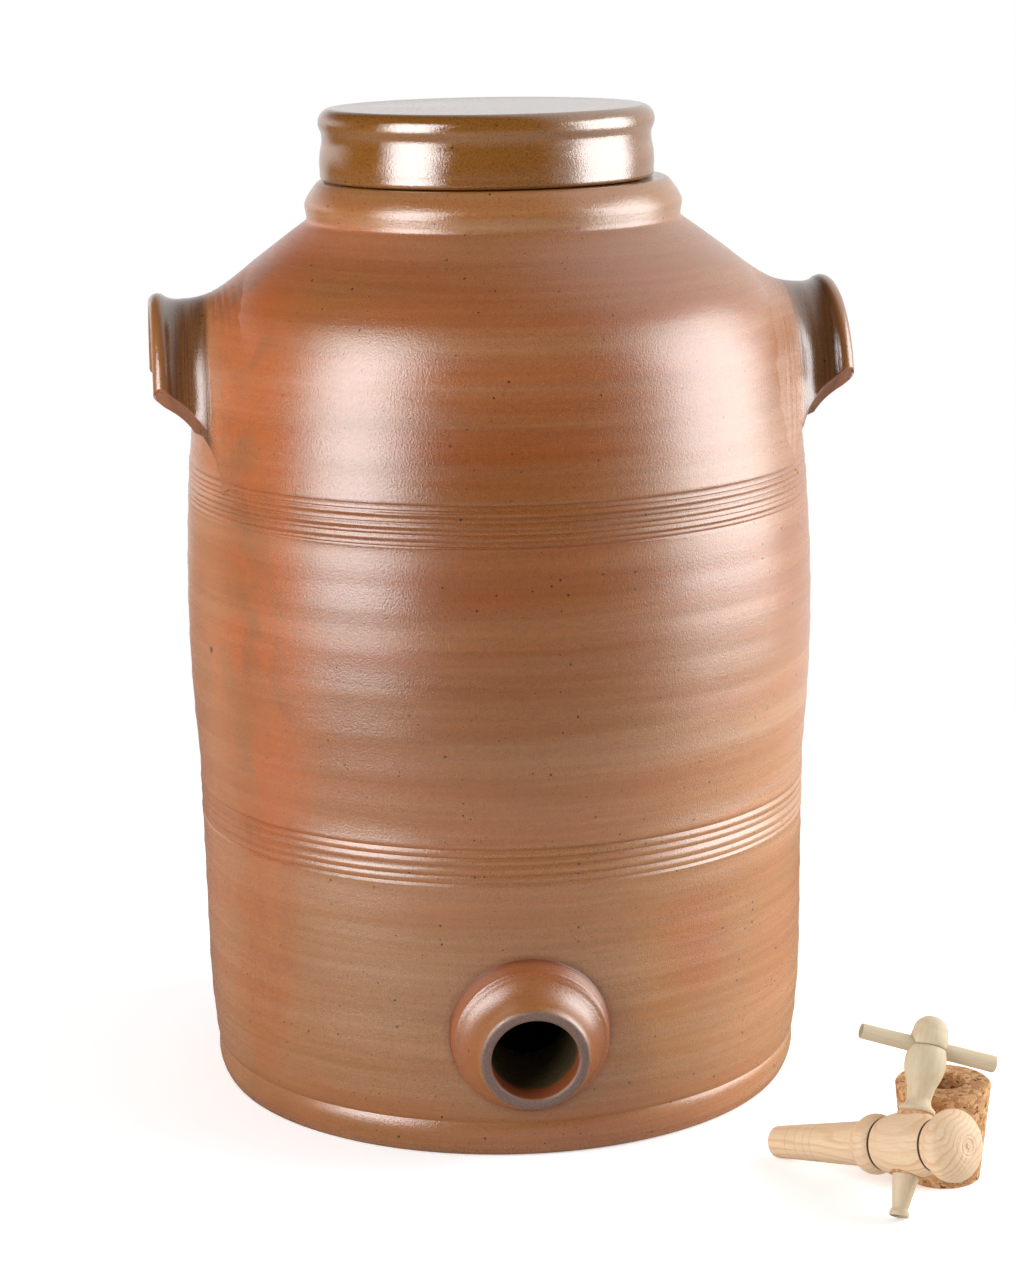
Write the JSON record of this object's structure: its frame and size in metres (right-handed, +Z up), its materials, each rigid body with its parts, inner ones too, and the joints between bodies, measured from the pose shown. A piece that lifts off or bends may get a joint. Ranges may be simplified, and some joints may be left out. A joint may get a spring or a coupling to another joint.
{
  "type": "drinks crock with wooden tap",
  "caption": "Stoneware drinks crock with side handles and a loose lid, with its bored cork bung and wooden tap set down beside it.",
  "frame": {"origin": "centre of the jar's base, on the surface that it stands on", "axes": "+Z up along the jar's axis; -Y the way the tap socket faces; +X to the right when looking at the socket"},
  "size_m": [0.3137, 0.3394, 0.399],
  "materials": {
    "stoneware_body": "salt-glazed sheen",
    "stoneware_socket": "salt-glazed sheen",
    "stoneware_handle": "salt-glazed sheen",
    "stoneware_lid": "gloss",
    "cork": "matte",
    "barrel_wood": "satin",
    "key_wood": "satin"
  },
  "bodies": {
    "jar": {"jar_body": "stoneware_body", "tap_socket": "stoneware_socket", "handle_left": "stoneware_handle", "handle_right": "stoneware_handle"},
    "lid": {"lid": "stoneware_lid"},
    "bung": {"bung": "cork"},
    "tap": {"tap_barrel": "barrel_wood", "cork_lining": "cork"},
    "key": {"key": "key_wood", "crossbar": "key_wood"}
  },
  "joints": [
    {"name": "lid_lift", "type": "slide", "parent": "jar", "child": "lid", "axis": [0, 0, 1], "range_m": [0, 0.08]},
    {"name": "bung_aside", "type": "slide", "parent": "jar", "child": "bung", "axis": [1, 0, 0], "range_m": [0, 0.06]},
    {"name": "tap_lift", "type": "slide", "parent": "jar", "child": "tap", "axis": [0, 0, 1], "range_m": [0, 0.08]},
    {"name": "key_turn", "type": "hinge", "parent": "tap", "child": "key", "pos_m": [0.1363, -0.1846, 0.0244], "axis": [0.2642, 0.4888, 0.8314], "continuous": true}
  ]
}
